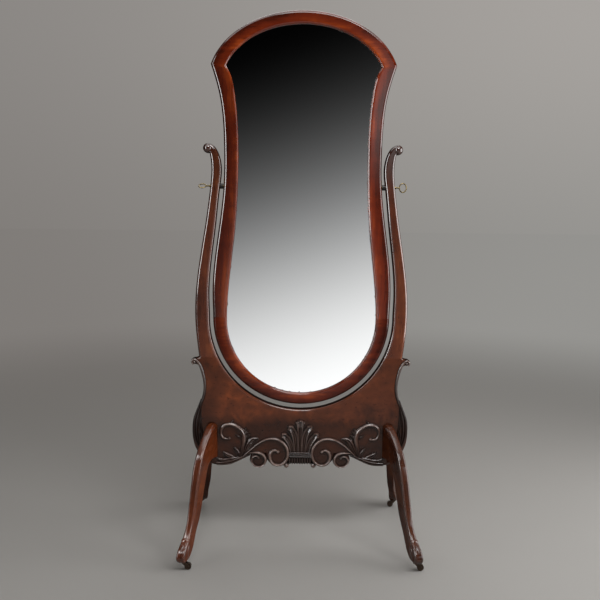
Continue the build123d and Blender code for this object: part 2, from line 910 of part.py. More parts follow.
for corner, (pintle_x, pintle_y) in pintle_spots.items():
    under_plate = Plane(origin=(pintle_x, pintle_y, flange_z), z_dir=(0, 0, -1))
    screw_turns = [360 / flange_screw_count * i for i in range(flange_screw_count)]
    seats = [
        Location(
            (
                pintle_x + flange_screw_circle * cos(radians(turn)),
                pintle_y + flange_screw_circle * sin(radians(turn)),
                flange_z,
            ),
            (180, 0, 0),
        )
        for turn in screw_turns
    ]
    plate_screw_seats += seats
    with BuildPart() as caster_socket:
        with BuildSketch(under_plate):
            Circle(flange_radius)
        extrude(amount=-flange_thickness)
        with BuildSketch(under_plate):
            Circle(socket_radius)
        extrude(amount=-(flange_thickness + socket_length))
        with BuildSketch(under_plate):
            Circle(pintle_bore)
        extrude(amount=-(flange_thickness + socket_length - socket_wall), mode=Mode.SUBTRACT)
        with Locations(*seats):
            CounterSinkHole(
                flange_screw_radius + screw_clearance,
                flange_screw_head_radius + screw_clearance,
                flange_thickness,
                countersink_angle,
            )
    save(caster_socket.part, f"{corner}_caster_socket")

    heading = radians(trail_angles[corner])
    along = Vector(cos(heading), sin(heading), 0)
    fork_side = Plane(
        origin=(pintle_x, pintle_y, 0), x_dir=along, z_dir=along.cross(Vector(0, 0, 1))
    )
    axle_place = (trail, wheel_radius)
    with BuildPart() as caster_fork:
        with BuildSketch(Plane(origin=(pintle_x, pintle_y, boss_top_z))):
            Circle(fork_boss_radius)
        extrude(amount=-fork_boss_height)
        with BuildSketch(Plane(origin=(pintle_x, pintle_y, boss_top_z))):
            Circle(pintle_radius)
        extrude(amount=pintle_length)
        for flank in (-1, 1):
            with BuildSketch(fork_side.offset(flank * cheek_inner)):
                with Locations((0, boss_top_z - fork_boss_height / 2)):
                    Rectangle(fork_boss_radius, fork_boss_height)
                with Locations(axle_place):
                    Circle(cheek_eye_radius)
                make_hull()
                with Locations(axle_place):
                    Circle(axle_radius + running_clearance, mode=Mode.SUBTRACT)
            extrude(amount=flank * cheek_thickness)
    save(caster_fork.part, f"{corner}_caster_fork")

    with BuildPart() as caster_wheel:
        with BuildSketch(fork_side):
            with Locations(axle_place):
                Circle(wheel_radius)
        extrude(amount=wheel_width / 2, both=True)
        fillet(caster_wheel.edges(), wheel_crown)
        with BuildSketch(fork_side):
            with Locations(axle_place):
                Circle(axle_radius + running_clearance)
        extrude(amount=wheel_width, both=True, mode=Mode.SUBTRACT)
    save(caster_wheel.part, f"{corner}_caster_wheel")

    with BuildPart() as caster_axle:
        with BuildSketch(fork_side):
            with Locations(axle_place):
                Circle(axle_radius)
        extrude(amount=axle_half, both=True)
        for flank in (-1, 1):
            with BuildSketch(fork_side.offset(flank * (axle_half - axle_head))):
                with Locations(axle_place):
                    Circle(axle_head_radius)
            extrude(amount=flank * axle_head)
    save(caster_axle.part, f"{corner}_caster_axle")

with BuildPart() as caster_plate_screws:
    with Locations(*plate_screw_seats):
        add(plate_screw)
save(caster_plate_screws.part, "caster_plate_screws")
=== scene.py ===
from math import asin, cos, degrees, pi, radians, sin, tan

import bmesh
import bpy
import numpy as np
from bpy.props import FloatProperty, FloatVectorProperty, IntProperty, PointerProperty
from mathutils import Matrix, Vector


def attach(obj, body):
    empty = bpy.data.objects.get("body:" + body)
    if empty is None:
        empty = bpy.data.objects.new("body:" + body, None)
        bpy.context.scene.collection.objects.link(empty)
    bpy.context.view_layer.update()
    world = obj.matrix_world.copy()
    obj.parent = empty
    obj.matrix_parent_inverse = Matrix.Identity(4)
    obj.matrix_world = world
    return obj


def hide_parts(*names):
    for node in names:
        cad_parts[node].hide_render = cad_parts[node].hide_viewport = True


bl_info = {
    "name": "Cheval mirror",
    "version": (1, 0, 0),
    "blender": (4, 5, 0),
    "location": "3D View > Sidebar > Cheval",
    "description": "Dresses the packed cheval floor mirror: woodwork, carving, glass, brass and stage",
    "category": "Object",
}

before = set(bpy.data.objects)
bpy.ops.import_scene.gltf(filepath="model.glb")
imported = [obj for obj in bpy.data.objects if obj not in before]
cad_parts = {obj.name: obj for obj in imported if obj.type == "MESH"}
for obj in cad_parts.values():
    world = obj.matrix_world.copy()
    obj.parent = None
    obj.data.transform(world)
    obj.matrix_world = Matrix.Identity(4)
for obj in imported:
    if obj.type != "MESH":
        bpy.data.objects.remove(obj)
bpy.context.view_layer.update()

MM = 0.001
SIDES = {"left": -1, "right": 1}
CORNERS = {"front_left": (-1, -1), "front_right": (1, -1), "back_left": (-1, 1), "back_right": (1, 1)}

# Outer edge of the frame and edge of the glass that shows: half widths and heights in millimetres
FRAME_SIDE = [(308, 792), (310, 860), (286, 1115), (271.5, 1245), (269.5, 1375), (287, 1560), (314, 1652)]
SIGHT_SIDE = [(260, 785), (257, 860), (230, 1115), (222.5, 1245), (221, 1375), (234, 1560), (263, 1646)]
# Directions of both edges at their tops
FRAME_LEAN = (0.33, 1)
SIGHT_LEAN = (0.75, 1)
# Arches above: height of the centre, half width and rise
FRAME_ARCH = (1590, 325.0, 240)
SIGHT_ARCH = (1584, 276.5, 201)
# Bowls below: height of the centre and radius
FRAME_BOWL = (792, 308)
SIGHT_BOWL = (785, 260)
# Joint at the shoulder: a point on it and its slope, and where it meets the two edges
SHOULDER_CUT = (288.5, 1641, 6 / 51)
SHOULDER_ENDS = (312, 260)
# Section of the frame: half its thickness, the rebate, points on its front and its inner arris
FRAME_HALF = 12
REBATE_Y = -1
REBATE_WIDTH = 8
FRAME_SHARES = (0.3, 0.4, 0.5, 0.6, 0.7, 0.78)
INNER_ARRIS = 0.75
# Glass: how far each ring of the plate lies outside what shows, its depth and its wear
GLASS_RINGS = ((5, 4, 1), (5, -0.8, 1), (0, -0.8, 0.9), (-3, -0.8, 0.6), (-9, -0.8, 0.2), (-30, -0.8, 0))
GLASS_MIDDLE = (0, 1150.0)

# Uprights and apron: half their thickness, the rim of the U, their joint and the uprights' edges
STAND_HALF = 14
RIM_RADIUS = 320
RIM_CENTRE_Z = 787
JOINT_Z = 652
JOINT_OUTER_X = 357.13
JOINT_ANGLE = degrees(asin((JOINT_Z - RIM_CENTRE_Z) / RIM_RADIUS))
UPRIGHT_INNER = [(320, 787), (322, 860), (298, 1115), (283.5, 1245), (281.5, 1333), (324.5, 1389)]
UPRIGHT_OUTER = [(314.5, 1333), (316.5, 1245), (334, 1115), (369, 860), (370, 787), (357.13, 652)]
# Knob and ear: centre and radius, and the radii of the knob's ball
KNOB = (324.5, 1372.5, 16.5)
KNOB_BALL = (16.2, 19.5, 16.2)
EAR = (372.13, 636, 11.5)
SKIRT = [
    (349.1, 602), (341.1, 552), (349.1, 500), (375.1, 440), (382.1, 392), (369.1, 320), (340.1, 283),
    (295.7, 262),
]
HEM = [(295.7, 262), (254, 266), (212, 282), (178, 298)]
HEM_FOOT = [(84, 304), (40, 268), (0, 268)]
# Lobes under the scrolls: centre and radius, half their thickness and their arris
LOBES = (((77, 302), 43), ((147.7, 284), 30), ((48, 263), 9))
LOBE_HALF = 13.6
LOBE_ARRIS = 3

# Carved surface, just under the apron's face, and the relief that the heights below are given for
CARVED_FACE = -13.5
GIVEN_RELIEF = 11.5
# Bands on the right half of the apron: points along the middle, half widths and heights
SCROLL = (
    [
        (214, 285), (179, 317), (161, 334), (143, 347), (125.5, 356.5), (101, 361), (79.5, 358), (58, 344),
        (45.5, 324), (43, 302.5), (49.5, 281), (63, 268.5), (79.5, 264), (96, 270), (105, 284), (106.5, 301),
        (99, 314.5), (87, 318.5), (77, 313),
    ],
    [3, 4, 4, 4, 4.6, 5.8, 7, 7.6, 7.4, 6.8, 6.4, 7, 8.4, 4],
    [6, 9.2, 10.35, 11.5, 11.5, 11.5, 11.5, 11.5, 10.35, 9.2],
)
RING = (
    [
        (186, 307), (163, 309.5), (140, 306.5), (125, 294), (122.5, 278), (132, 263.5), (148, 258.5),
        (164.5, 265.5), (171.5, 281), (166, 294), (153, 297), (145, 290),
    ],
    [3.4, 4.6, 6, 6.8, 6, 5.2, 4.6, 4.6, 4.8, 4.6, 3],
    [5, 8.05, 10.35, 11.5, 11.5, 11.5, 10.35, 8.05],
)
CURL = (
    [
        (207, 318), (200, 345), (198, 367), (203, 386), (217, 400), (236, 410.5), (256, 412), (272, 404),
        (279.5, 389), (278, 372), (268, 361), (250, 360),
    ],
    [6, 9, 10.5, 10.5, 9, 8, 7.6, 7.2, 6.6, 6, 5.4, 3.4],
    [7, 10.35, 11.5, 12.075, 11.5, 11.5, 10.35, 9.2],
)
# Leaves on the same half, given like the bands, from root to tip
LEAVES = [
    ([(178, 301), (212, 288), (252, 273), (296, 269)], [4, 8, 9.5, 8], [6, 10, 11, 9]),
    ([(212, 293), (248, 285), (278, 283), (296, 290)], [3, 8, 8, 3], [6, 11, 12, 7]),
    ([(230, 291), (246, 297), (260, 304), (272, 313)], [3.5, 9, 8.5, 2], [6, 12, 14, 9]),
    ([(210, 298), (219, 311), (226, 322), (234, 329)], [3.5, 7.5, 7, 1.5], [6, 11, 13, 8]),
    ([(226, 287), (212, 300), (205, 318), (200, 342)], [3.5, 6, 7, 7], [6, 10, 11, 11]),
    ([(212, 296), (194, 318), (182, 344), (169, 358), (146, 362)], [3.5, 7, 8.5, 9.5, 2], [6, 10, 12, 13, 9]),
    ([(202, 304), (180, 324), (169, 345), (156, 357)], [3, 5.5, 6.5, 1.5], [6, 9, 11, 9]),
    ([(184, 342), (180, 356), (175, 367)], [4.5, 7, 1.5], [9, 12, 9]),
    ([(197, 370), (191, 383), (182, 391)], [5, 5, 1.5], [11, 13, 9]),
    ([(199, 374), (196, 389), (190, 400)], [5, 5, 1.5], [11, 13, 9]),
    ([(196, 362), (187, 371), (176, 377)], [4.5, 4.5, 1.5], [10, 12, 8]),
    ([(205, 362), (216, 368), (228, 376)], [3, 5, 1.5], [7, 11, 7]),
    ([(240, 410), (241, 419), (235, 427)], [4.5, 4, 1.2], [9, 10, 6]),
]
# Eyes of the bands and of the ear: centre, radius and height
EAR_EYE = (372.5, 634.5)
EYES = (((250, 361), 6, 10), ((78, 313), 6.5, 10), ((146, 290), 5, 8), (EAR_EYE, 6.5, 7))
# Leaf on the apron's flank, given like the others
FLANK = [
    (
        [(346, 502), (360, 458), (368, 428), (370, 395), (365, 356), (354, 324)],
        [5, 7, 10, 11, 9, 3],
        [4, 5, 7, 8, 6, 2],
    ),
    ([(350, 470), (354, 440), (353, 410), (347, 384), (338, 366)], [3, 6, 8, 6, 2], [2, 4, 5, 4, 2]),
    ([(351, 396), (351, 368), (345, 344), (334, 326)], [3, 7, 7, 2], [2, 4, 4, 2]),
]
# Rib that falls from the ear along the apron's edge
RIB = [(355, 627), (347.5, 610), (342, 590), (337.5, 568), (336, 545), (338, 522), (344, 500), (354, 474)]
# Petals of the palmette's right half, given like the leaves, and how wide the drops at their tips lie
PETALS = [
    ([(0, 302), (0, 350), (0, 398), (0, 424)], [6.5, 7.5, 8, 10, 16], [7, 9, 11, 14, 15], 13),
    ([(12, 302), (15, 348), (23, 385), (36, 404)], [6.5, 8.5, 10.5, 11.5, 9], [6, 8, 11, 14, 14], 7.5),
    ([(25, 302), (32, 335), (44, 360), (59, 377)], [6.5, 8.5, 10, 11, 8], [5, 7, 10, 13, 13], 7.5),
]
# Drops: place across, place ahead and height; below the petals a collar, reeds and a ball on each side
DROPS = ((-1, -4, 14.95), (-0.5, 0, 14.95), (0, 3, 16.675), (0.5, 0, 14.95), (1, -4, 14.95))
COLLAR_HALF = 39
COLLAR_RISES = (296.5, 303.5, 310.5)
REEDS = range(-36, 37, 9)
REED_RISES = (293, 280, 269)
SIDE_BALL = ((48, -10, 262.5), (9.5, 12, 9.5))

# Legs: where they leave the apron, their splay in degrees, and their two edges in their own plane
LEG_X = 309.13
LEG_SPLAY = 15
SOLE_Z = 32
LEG_FRONT = [
    (-6, 414), (16, 414), (38, 407), (66, 390), (95, 368), (122, 345), (144, 318), (161, 285), (177, 240),
    (192, 196), (209, 154), (233, 116), (258, 90), (280, 74), (297, 58), (302, 46), (294, 32),
]
LEG_BACK = [
    (-6, 290), (40, 297), (73, 286), (97, 252), (118, 212), (133, 178), (160, 124), (208, 65), (238, 39),
    (250, 32),
]
# Half the thickness, and where it swells: by how much, at what share of the length, over what share
LEG_HALF = 13
LEG_SWELLS = ((-2.4, 0.76, 0.09), (1, 0.93, 0.08), (3.5, 0, 0.12))
# Rounding of the front at shares of the length, its crown, and the rounding of the back
ROUND_SHARES = [0, 0.12, 0.3, 0.7, 0.8, 1]
ROUND_FRONT = [11, 8.5, 6.5, 6, 7, 6]
LEG_CROWN = 1.3
ROUND_BACK = 3.5
# Toes and cuff: centre, radii and tilt in degrees
TOES = (
    ((281, -8.6, 59), (8.5, 5.6, 29), -36),
    ((285, 0, 60), (8.5, 6.2, 29), -36),
    ((281, 8.6, 59), (8.5, 5.6, 29), -36),
    ((262, -12, 56), (9, 4.4, 24), -30),
    ((262, 12, 56), (9, 4.4, 24), -30),
    ((254, 0, 90), (11, 12.8, 5), 38),
)

# Backdrop from left to right, near the floor and above
HORIZON = ((0.212, 0.198, 0.186), (0.300, 0.294, 0.280))
SKY = ((0.250, 0.236, 0.224), (0.390, 0.370, 0.350))
FLOOR_REACH = 40
FLOOR_Z = -0.0004
# Card before the glass: its distance, how much larger it is, and the eye that it is drawn for
CARD_Y = -1.5
CARD_SPREAD = 0.561
EYE = (-37.0, 1165.0)
# Its light on the glass: height of black in the middle, drop from there to white, lean of the levels
BLACK_Z = 1.789
WHITE_DROP = 1.264
LEVEL_LEAN = 0.375
# Dim wall all round, and the middle of its bright patch
WALL_RADIUS = 3.4
WALL_HEIGHT = 4.2
PATCH = (0.66, -3.33, 1.95)
# Lamps: name, place, aim, size, power, and whether it shows in the gloss, the colour or both
LAMPS = (
    ("left", (-1.95, -1.0, 1.75), (0, 0, 1.3), (0.6, 2.0), 30, "gloss"),
    ("right", (2.32, -0.2, 1.3), (0, 0, 1.1), (1.5, 2.2), 46, "both"),
    ("top", (0.4, -1.7, 3.1), (0, 0, 0.9), (1.4, 0.9), 38, "both"),
    ("back", (0.0, 1.7, 3.4), (0, 0, 0.7), (2.0, 1.2), 26, "both"),
    ("low left", (-2.0, -1.35, 0.85), (-0.35, -0.2, 0.35), (0.28, 1.5), 6, "both"),
    ("low right", (1.8, -1.6, 0.85), (0.35, -0.2, 0.35), (0.25, 1.5), 1.8, "both"),
    ("overhead", (0.0, -0.3, 2.9), (0, -0.25, 0), (2.6, 0.9), 16, "gloss"),
    ("fill", (1.5, -1.5, 2.2), (0.15, 0, 1.2), (1.0, 1.0), 30, "colour"),
)


def run_of(points):
    """Distance along a line at each of its points."""
    return np.concatenate([[0], np.cumsum(np.linalg.norm(np.diff(points, axis=0), axis=1))])


def unit(vectors):
    """Vectors brought to length one."""
    return vectors / np.maximum(np.linalg.norm(vectors, axis=-1, keepdims=True), 1e-9)


def quarter(vectors):
    """Flat vectors turned a quarter to the left."""
    return vectors[..., ::-1] * np.array([-1, 1])


def smooth_curve(points, count, start=None, end=None):
    """Evenly spaced points of a smooth curve through points; start and end are directions there."""
    given = np.array(points, float)
    knots = run_of(given)
    step = np.diff(knots)
    size = len(given)
    matrix = np.zeros((size, size))
    right = np.zeros((size, given.shape[1]))
    slope = np.diff(given, axis=0) / step[:, None]
    for i in range(1, size - 1):
        matrix[i, i - 1] = step[i]
        matrix[i, i] = 2 * (step[i - 1] + step[i])
        matrix[i, i + 1] = step[i - 1]
        right[i] = 3 * (step[i] * slope[i - 1] + step[i - 1] * slope[i])
    for i, j, direction, span in ((0, 1, start, 0), (size - 1, size - 2, end, -1)):
        if direction is None:
            matrix[i, i] = 2
            matrix[i, j] = 1
            right[i] = 3 * slope[span]
        else:
            matrix[i, i] = 1
            right[i] = unit(np.array(direction, float))
    speed = np.linalg.solve(matrix, right)
    dense = np.linspace(0, knots[-1], 40 * size)
    piece = np.clip(np.searchsorted(knots, dense, side="right") - 1, 0, size - 2)
    width = step[piece][:, None]
    share = ((dense - knots[piece]) / step[piece])[:, None]
    curve = (
        (2 * share**3 - 3 * share**2 + 1) * given[piece]
        + (share**3 - 2 * share**2 + share) * width * speed[piece]
        + (3 * share**2 - 2 * share**3) * given[piece + 1]
        + (share**3 - share**2) * width * speed[piece + 1]
    )
    run = run_of(curve)
    places = np.linspace(0, run[-1], count)
    return np.stack([np.interp(places, run, line) for line in curve.T], axis=1)


def arc(centre, radius, first, last, count):
    """Points of an arc between two angles in degrees; an ellipse has two radii."""
    turns = np.radians(np.linspace(first, last, count))
    return np.array(centre) + np.array(radius) * np.stack([np.cos(turns), np.sin(turns)], axis=1)


def circle(centre, radius, count):
    """Points right round a circle."""
    return arc(centre, radius, 0, 360 - 360 / count, count)


def sided(path, side):
    """A path on the right half, brought to one side of the middle."""
    return path * np.array([side, 1])


def at_depth(flat, depth):
    """Points of a front view at one depth, or each at its own."""
    return np.stack([flat[:, 0], np.broadcast_to(depth, (len(flat),)), flat[:, 1]], axis=1)


def spread(values, count):
    """Values that are evenly spaced along a line, read off at more points."""
    return np.interp(np.linspace(0, 1, count), np.linspace(0, 1, len(values)), values)


# Worn arris from the edge to the face: share of its width and slope in degrees of each facet
ARRIS = [
    (0.04, 80), (0.08, 70), (0.10, 60), (0.12, 50), (0.14, 36), (0.14, 33), (0.14, 29), (0.12, 18), (0.12, 6),
]
BACK_ARRIS = 2.0
# Share of its radius that a ball or dome keeps at its pole
POLE = 1e-3


def arris_profile(width):
    """Distance in from the edge and depth below the face along a worn arris."""
    drops = [width * share * tan(radians(slope)) for share, slope in ARRIS]
    places = [(0.0, sum(drops))]
    for (share, slope), drop in zip(ARRIS, drops):
        places.append((places[-1][0] + width * share, places[-1][1] - drop))
    return places


class Solid:
    """Points and faces of one piece, gathered in millimetres, with a height share for each point."""

    def __init__(self):
        self.points = []
        self.faces = []
        self.relief = []

    def loops(self, rows, relief=None, closed=True):
        """Skin over rows with the same number of points each; closed rows are capped at both ends."""
        rows = np.array(rows, float)
        count, around = rows.shape[:2]
        first = len(self.points)
        last = first + (count - 1) * around
        for start in range(first, last, around):
            for k in range(around if closed else around - 1):
                here = start + k
                after = start + (k + 1) % around
                self.faces.append((here, after, after + around, here + around))
        if closed:
            self.faces.append(tuple(range(first, first + around))[::-1])
            self.faces.append(tuple(range(last, last + around)))
        self.points.extend(map(tuple, rows.reshape(-1, 3)))
        self.relief.extend([1.0] * count * around if relief is None else relief)

    def plate(self, outline, half, arris, normals=None):
        """Plate with this front outline and half thickness, its arrises worn round, less so at the back."""
        outline = np.array(outline, float)
        ahead = np.roll(outline, -1, axis=0) - outline
        area = np.sum(outline[:, 0] * ahead[:, 1] - outline[:, 1] * ahead[:, 0])
        inward = np.sign(area) * unit(quarter(unit(ahead) + unit(np.roll(ahead, 1, axis=0))))
        for index, direction in (normals or {}).items():
            inward[index] = direction
        rows = []
        shares = []
        for way, width in ((-1, arris), (1, BACK_ARRIS)):
            for reach, drop in arris_profile(width)[::way]:
                rows.append(at_depth(outline + inward * reach, way * (half - drop)))
                shares += [reach / width] * len(outline)
        self.loops(rows, shares)

    def ridge(self, path, width, height, section="bead", steps=10, sink=8.0, tone=(1.0,)):
        """Raised band along a path on the carved face, rooted below it by sink."""
        path = np.array(path, float)
        side = quarter(unit(np.gradient(path, axis=0)))
        width, height, tone = (spread(values, len(path)) for values in (width, height, tone))
        across = np.sin(np.linspace(-pi / 2, pi / 2, steps + 1))
        shape = band_section(section, across)
        rows = []
        relief = []
        for i, middle in enumerate(path):
            rise = (height[i] + sink) * shape - sink
            rows.append(at_depth(middle + np.outer(across * width[i], side[i]), CARVED_FACE - rise))
            relief.extend(tone[i] * np.clip(rise / height[i], 0, 1))
        self.loops(rows, relief, closed=False)

    def dome(self, centre, radius, height, rings=7, around=20, sink=6.0):
        """Dome on the carved face, rooted below it by sink."""
        rows = []
        relief = []
        for rise in np.linspace(0, pi / 2, rings + 1):
            ring = circle(centre, radius * max(cos(rise), POLE), around)
            rows.append(at_depth(ring, CARVED_FACE + sink - (height + sink) * sin(rise)))
            relief += [sin(rise)] * around
        self.loops(rows, relief)

    def ball(self, centre, radii, tilt=0, rings=14, around=24):
        """Ball squeezed to three radii and tipped about the second axis by tilt in degrees."""
        lean = radians(tilt)
        rows = []
        for rise in np.linspace(-pi / 2, pi / 2, rings + 1):
            along, across = circle((0, 0), max(cos(rise), POLE), around).T
            along = radii[0] * along
            up = radii[2] * sin(rise)
            flat = np.stack([along * cos(lean) + up * sin(lean), up * cos(lean) - along * sin(lean)], axis=1)
            rows.append(at_depth(flat, radii[1] * across) + np.array(centre))
        self.loops(rows)

    def make(self, name, body, node, slot, material, place=None, angle=40):
        """Makes the piece, seats it on its body and hides the node that it stands for."""
        points = [tuple(MM * part for part in point) for point in self.points]
        piece = add_piece(name, points, self.faces, material)
        mesh = piece.data
        mesh.validate()
        heights = mesh.attributes.new("relief", "FLOAT", "POINT")
        heights.data.foreach_set("value", np.array(self.relief, np.float32))
        mesh.shade_smooth()
        if place is not None:
            piece.matrix_world = place
        work = bmesh.new()
        work.from_mesh(mesh)
        bmesh.ops.recalc_face_normals(work, faces=work.faces)
        work.to_mesh(mesh)
        work.free()
        mesh.set_sharp_from_angle(angle=radians(angle))
        weighted = piece.modifiers.new("weighted normals", "WEIGHTED_NORMAL")
        weighted.keep_sharp = True
        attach(piece, body)
        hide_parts(node)


def add_piece(name, points, faces, material):
    """A new object with these points, in metres, and faces."""
    mesh = bpy.data.meshes.new(name)
    mesh.from_pydata(points, [], faces)
    mesh.materials.append(material)
    piece = bpy.data.objects.new(name, mesh)
    bpy.context.scene.collection.objects.link(piece)
    return piece


def band_section(kind, across):
    """Heights across a band: plain half-round, leaf with a vein, hollow flute or three reeds."""
    bead = np.sqrt(np.clip(1 - across**2, 0, 1))
    sections = {
        "bead": bead,
        "frond": bead * (1 - 0.45 * np.exp(-((across / 0.25) ** 2))),
        "flute": bead**0.5 * (0.45 + 0.55 * across**2) * 1.35,
        "reeded": bead * (0.88 + 0.12 * np.cos(1.5 * pi * across) ** 2),
    }
    return sections[kind]


class Value:
    """A shader socket that can be added, scaled and mixed like a number."""

    def __init__(self, tree, socket):
        self.tree = tree
        self.socket = socket

    def node(self, kind, settings=(), inputs=(), output=0):
        """Adds a node, sets it up, feeds its inputs and returns one of its outputs."""
        node = self.tree.nodes.new(kind)
        for name, setting in dict(settings).items():
            setattr(node, name, setting)
        feed(node, inputs)
        return Value(self.tree, node.outputs[output])

    def maths(self, operation, *given):
        return self.node("ShaderNodeMath", {"operation": operation}, dict(enumerate(given)))

    def __add__(self, other):
        return self.maths("ADD", self, other)

    __radd__ = __add__

    def __sub__(self, other):
        return self.maths("SUBTRACT", self, other)

    def __rsub__(self, other):
        return self.maths("SUBTRACT", other, self)

    def __mul__(self, other):
        return self.maths("MULTIPLY", self, other)

    def __truediv__(self, other):
        return self.maths("DIVIDE", self, other)

    def __pow__(self, other):
        return self.maths("POWER", self, other)

    def __abs__(self):
        return self.maths("ABSOLUTE", self)

    def clamp(self):
        return self.node("ShaderNodeClamp", (), {"Value": self})

    def step(self, low, high):
        """0 below low, 1 above high, smooth between."""
        inputs = {"Value": self, "From Min": low, "From Max": high}
        return self.node("ShaderNodeMapRange", {"interpolation_type": "SMOOTHSTEP"}, inputs)

    def scaled(self, factors):
        """A vector multiplied by another, part by part."""
        return self.node("ShaderNodeVectorMath", {"operation": "MULTIPLY"}, {0: self, 1: factors})

    def turned(self, angles):
        """A vector turned by angles in radians."""
        inputs = {"Vector": self, "Rotation": angles}
        return self.node("ShaderNodeVectorRotate", {"rotation_type": "EULER_XYZ"}, inputs)

    def noise(self, scale, detail, rough=0.55, distortion=0.0):
        inputs = {"Scale": scale, "Detail": detail, "Roughness": rough, "Distortion": distortion}
        return self.node("ShaderNodeTexNoise", (), inputs | {"Vector": self})

    def mix(self, first, second):
        """Colour between first and second, by this factor."""
        return self.node("ShaderNodeMix", {"data_type": "RGBA"}, {0: self, 6: first, 7: second}, output=2)

    def bump(self, strength, distance):
        """Normal of a surface with this height."""
        inputs = {"Height": self, "Strength": strength, "Distance": distance}
        return self.node("ShaderNodeBump", (), inputs)

    def part(self, axis):
        return self.node("ShaderNodeSeparateXYZ", (), {0: self}, output=axis)


def rgb(colour):
    """A colour with its alpha, for a socket."""
    return (*colour, 1.0)


def tinted(tones, factor):
    """The same tones, lighter or darker by a factor."""
    return [[channel * factor for channel in tone] for tone in tones]


def start_material(name):
    """A node material, the place on its object as a first value, and its main shader."""
    material = bpy.data.materials.new(name)
    material.use_nodes = True
    tree = material.node_tree
    place = Value(tree, None).node("ShaderNodeTexCoord", output="Object")
    return material, place, tree.nodes["Principled BSDF"]


def feed(node, inputs):
    """Links a node's inputs to values, or sets them to numbers."""
    for name, given in dict(inputs).items():
        if isinstance(given, Value):
            given.tree.links.new(given.socket, node.inputs[name])
        else:
            node.inputs[name].default_value = given


# Spans in metres, out from the middle and up, over which painted shade darkens the apron's flanks
FLANK_X = (0.286, 0.348)
FLANK_Z = (0.46, 0.55)


def wood(
    name, grain, tones, figure=0.35, polish=0.2, coat=0.5, gloss=0.1, bump=0.12, turn=None, corner_shade_reach=0.016,
    ground=None, relief=False, painted_inner_light=False, rim=None, sheen=None, inner=1.0,
):
    """Polished mahogany in a dark, a middle and a light tone.

    grain draws the figure out along each axis, after turn. figure and bump are the strength of the figure
    and the surface, polish the wood's roughness, coat and gloss the weight and roughness of its polish.
    corner_shade_reach is how far painted shade, from ambient occlusion, reaches out of corners. ground gives
    the heights between which a darkened colour turns plain; on the apron this darkening, and that of its
    flanks, is painted shade. The relief attribute is a height if relief is set: low parts get painted shade,
    and crests are lightened as rubbed wear with a painted highlight. Else painted_inner_light lightens along
    it as painted light, rim is where a painted dark edge ends, painted shade along the arris, sheen where the
    polish begins, and inner the polish left at its far end.
    """
    dark, middle, light = (rgb(tone) for tone in tones)

    def darkest(factor):
        return rgb(tinted(tones, factor)[0])

    material, place, shader = start_material(name)
    if turn is not None:
        place = place.turned(turn)
    drawn = place.scaled(grain)
    bands = drawn.noise(9, 5, 0.55, 0.7)
    fibres = drawn.noise(70, 4, 0.6, 0.2)
    cloud = place.noise(7, 3, 0.5, 0.4)
    blotch = place.noise(16, 4, 0.6, 1.2)
    pores = drawn.noise(230, 2, 0.5).step(0.62, 0.74)
    tone = (bands * 0.5 + fibres * 0.28 + cloud * figure + blotch * figure * 0.6) / (0.78 + figure * 1.6)
    height = place.node("ShaderNodeAttribute", {"attribute_name": "relief"}, output="Fac")
    # Painted light: the colour lightens towards the far end of the relief attribute, on the frame its inner
    # edge
    if painted_inner_light:
        tone = tone + (height.step(0.2, 0.75) - 0.5) * 0.13
    colour = tone.step(0.36, 0.52).mix(dark, middle)
    colour = tone.step(0.5, 0.66).mix(colour, light)
    colour = (pores * 0.55).mix(colour, darkest(0.35))
    rough = polish + cloud * 0.14 + pores * 0.16
    glaze = coat
    if relief:
        # Painted shade in the carving's low parts; crests lightened as rubbed wear together with a painted
        # highlight
        worn = height.step(0.6, 1.0) * blotch.step(0.25, 0.55)
        colour = height.step(0.05, 0.75).mix(darkest(0.4), colour)
        colour = (worn * 0.6).mix(colour, light)
        rough = rough + (1 - height.clamp()) * 0.25
        glaze = (height.step(0.1, 0.6) * 0.85 + 0.15) * coat
    # Painted shade: the colour darkens where ambient occlusion finds corners and recesses
    open_share = place.node("ShaderNodeAmbientOcclusion", {"samples": 8}, {"Distance": corner_shade_reach}, output="AO")
    colour = open_share.step(0.25, 0.85).mix(darkest(0.25), colour)
    if ground is not None:
        # Colour darker on one side of the ground heights and on the apron's flanks: painted shade on the
        # apron, a darker top on the uprights
        rise = place.part("Z")
        flank = abs(place.part("X")).step(*FLANK_X) * (1 - rise.step(*FLANK_Z))
        undarkened = (rise + (blotch - 0.5) * 0.06).step(*ground) * (1 - flank * 0.8)
        colour = (undarkened * 0.68 + 0.32).mix(darkest(0.3), colour)
    if rim is not None:
        # Painted shade: a dark edge along the outer arris, where less polish is also left
        clear = height.step(*rim)
        colour = clear.mix(darkest(0.4), colour)
        glaze = (clear * 0.8 + 0.2) * (1 - height.step(0.84, 0.95) * (1 - inner)) * coat
    if sheen is not None:
        glaze = (height.step(*sheen) * 0.75 + 0.25) * coat
    surface = fibres * 0.5 + pores * -0.7 + blotch * 0.35
    looks = {"Base Color": colour, "Roughness": rough, "Normal": surface.bump(bump, 0.0006)}
    polished = {"Coat Weight": glaze, "Coat Roughness": gloss, "Coat IOR": 2.0, "Specular IOR Level": 0.02}
    feed(shader, looks | polished)
    return material


def metal(name, tones, metallic, rough, grime=0.5, bump=0.1):
    """Worn metal: clean and tarnished tones by two scales of noise."""
    undarkened, dull = (rgb(tone) for tone in tones)
    material, place, shader = start_material(name)
    patch = place.noise(60, 5, 0.6, 0.4)
    speck = place.noise(420, 3, 0.6)
    tarnish = (patch * 0.7 + speck * 0.3).step(0.38, 0.66)
    colour = (tarnish * grime + 0.1).mix(undarkened, dull)
    normal = (patch * 0.5 + speck * 0.5).bump(bump, 0.0004)
    worn = rough + tarnish * 0.22
    feed(shader, {"Base Color": colour, "Roughness": worn, "Normal": normal, "Metallic": metallic})
    return material


